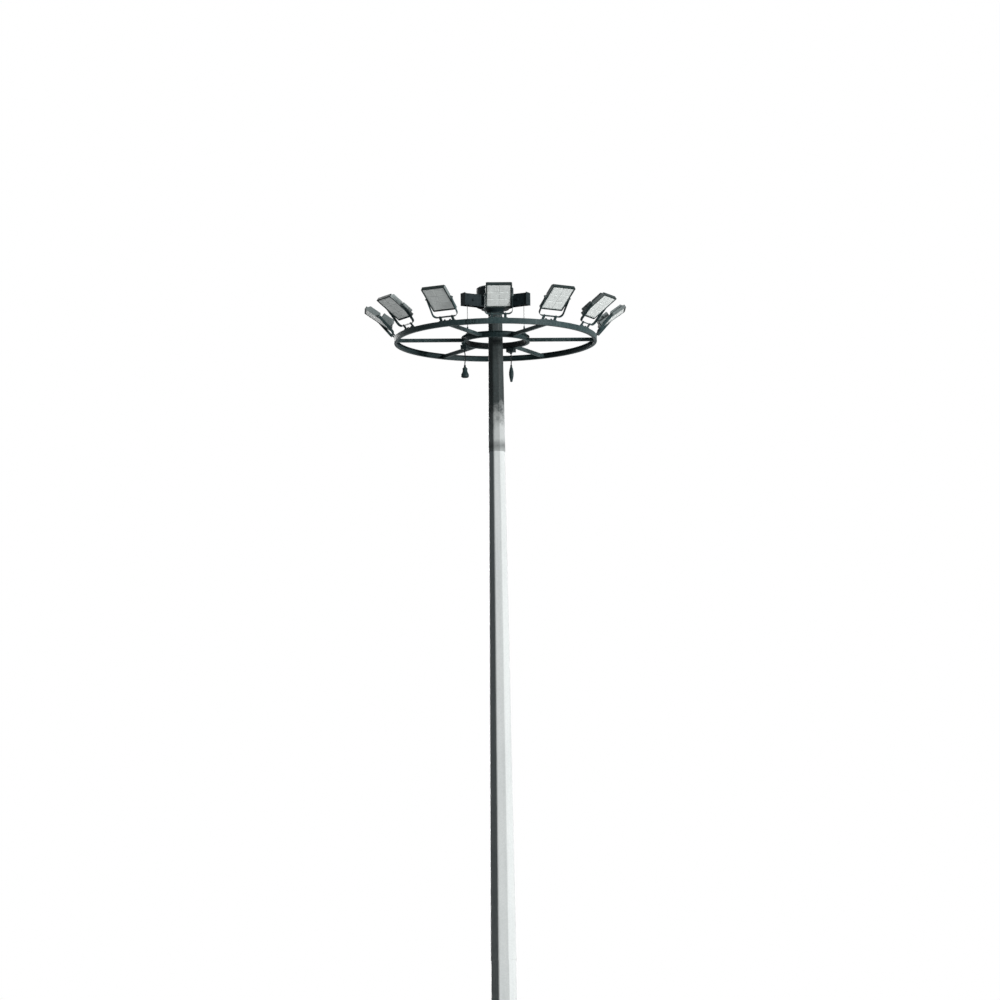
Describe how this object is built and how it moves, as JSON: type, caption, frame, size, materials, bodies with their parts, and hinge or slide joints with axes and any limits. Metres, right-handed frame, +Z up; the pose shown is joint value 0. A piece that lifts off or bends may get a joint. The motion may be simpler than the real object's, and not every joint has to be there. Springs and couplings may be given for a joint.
{
  "type": "high mast floodlight tower",
  "caption": "Tall tapered eight-sided galvanised mast with a winched ring carriage, seven tilting floodlights on its front half, a sheave head under a black hood, and a bolted base flange.",
  "frame": {"origin": "centre of the base flange's underside", "axes": "+Z up along the mast, -Y towards the door and the front flood"},
  "size_m": [3.865, 3.4324, 20.3954],
  "materials": {
    "galvanised_steel": "hot-dip galvanised, matt grey with a faint spangle",
    "slate_paint": "weathered slate grey paint",
    "black_paint": "dull near-black paint",
    "rope_steel": "greased stranded wire and turned steel",
    "cast_aluminium": "grey powder coat on a die casting",
    "optic_panel": "pale moulded optic with a soft gloss",
    "black_rubber": "matt black rubber",
    "black_plastic": "matt black moulding"
  },
  "bodies": {
    "mast": {"base_flange": "galvanised_steel", "base_gussets": "galvanised_steel", "shaft_base_section": "galvanised_steel", "shaft_middle_section": "galvanised_steel", "shaft_head_section": "galvanised_steel", "door_frame": "galvanised_steel", "door_leaf": "galvanised_steel", "head_pedestal": "black_paint", "head_hood": "black_paint", "sheave_boxes": "black_paint", "rope_sheaves": "rope_steel", "suspension_ropes": "rope_steel"},
    "carriage": {"carrier_ring": "slate_paint", "guide_ring": "slate_paint", "guide_fender": "black_rubber", "spokes": "slate_paint", "rope_anchors": "slate_paint", "flood_brackets": "slate_paint", "flood_yokes": "slate_paint", "terminal_boxes": "black_plastic", "supply_lead": "black_rubber", "supply_plug": "black_plastic", "test_lead": "black_rubber", "test_coupler": "black_plastic"},
    "flood_01": {"flood_01_housing": "cast_aluminium", "flood_01_optic": "optic_panel"},
    "flood_02": {"flood_02_housing": "cast_aluminium", "flood_02_optic": "optic_panel"},
    "flood_03": {"flood_03_housing": "cast_aluminium", "flood_03_optic": "optic_panel"},
    "flood_04": {"flood_04_housing": "cast_aluminium", "flood_04_optic": "optic_panel"},
    "flood_05": {"flood_05_housing": "cast_aluminium", "flood_05_optic": "optic_panel"},
    "flood_06": {"flood_06_housing": "cast_aluminium", "flood_06_optic": "optic_panel"},
    "flood_07": {"flood_07_housing": "cast_aluminium", "flood_07_optic": "optic_panel"}
  },
  "joints": [
    {"name": "carriage_hoist", "type": "slide", "parent": "mast", "child": "carriage", "axis": [0, 0, -1], "range_m": [0, 17.9], "deforming": ["suspension_ropes"]},
    {"name": "flood_01_tilt", "type": "hinge", "parent": "carriage", "child": "flood_01", "pos_m": [-1.72628, 0, 19.93439], "axis": [0, 1, 0], "range_deg": [-35, 40]},
    {"name": "flood_02_tilt", "type": "hinge", "parent": "carriage", "child": "flood_02", "pos_m": [-1.495, -0.86314, 19.93439], "axis": [-0.5, 0.866, 0], "range_deg": [-35, 40]},
    {"name": "flood_03_tilt", "type": "hinge", "parent": "carriage", "child": "flood_03", "pos_m": [-0.86314, -1.495, 19.93439], "axis": [-0.866, 0.5, 0], "range_deg": [-35, 40]},
    {"name": "flood_04_tilt", "type": "hinge", "parent": "carriage", "child": "flood_04", "pos_m": [0, -1.72628, 19.93439], "axis": [-1, 0, 0], "range_deg": [-35, 40]},
    {"name": "flood_05_tilt", "type": "hinge", "parent": "carriage", "child": "flood_05", "pos_m": [0.86314, -1.495, 19.93439], "axis": [-0.866, -0.5, 0], "range_deg": [-35, 40]},
    {"name": "flood_06_tilt", "type": "hinge", "parent": "carriage", "child": "flood_06", "pos_m": [1.495, -0.86314, 19.93439], "axis": [-0.5, -0.866, 0], "range_deg": [-35, 40]},
    {"name": "flood_07_tilt", "type": "hinge", "parent": "carriage", "child": "flood_07", "pos_m": [1.72628, 0, 19.93439], "axis": [0, -1, 0], "range_deg": [-35, 40]}
  ]
}
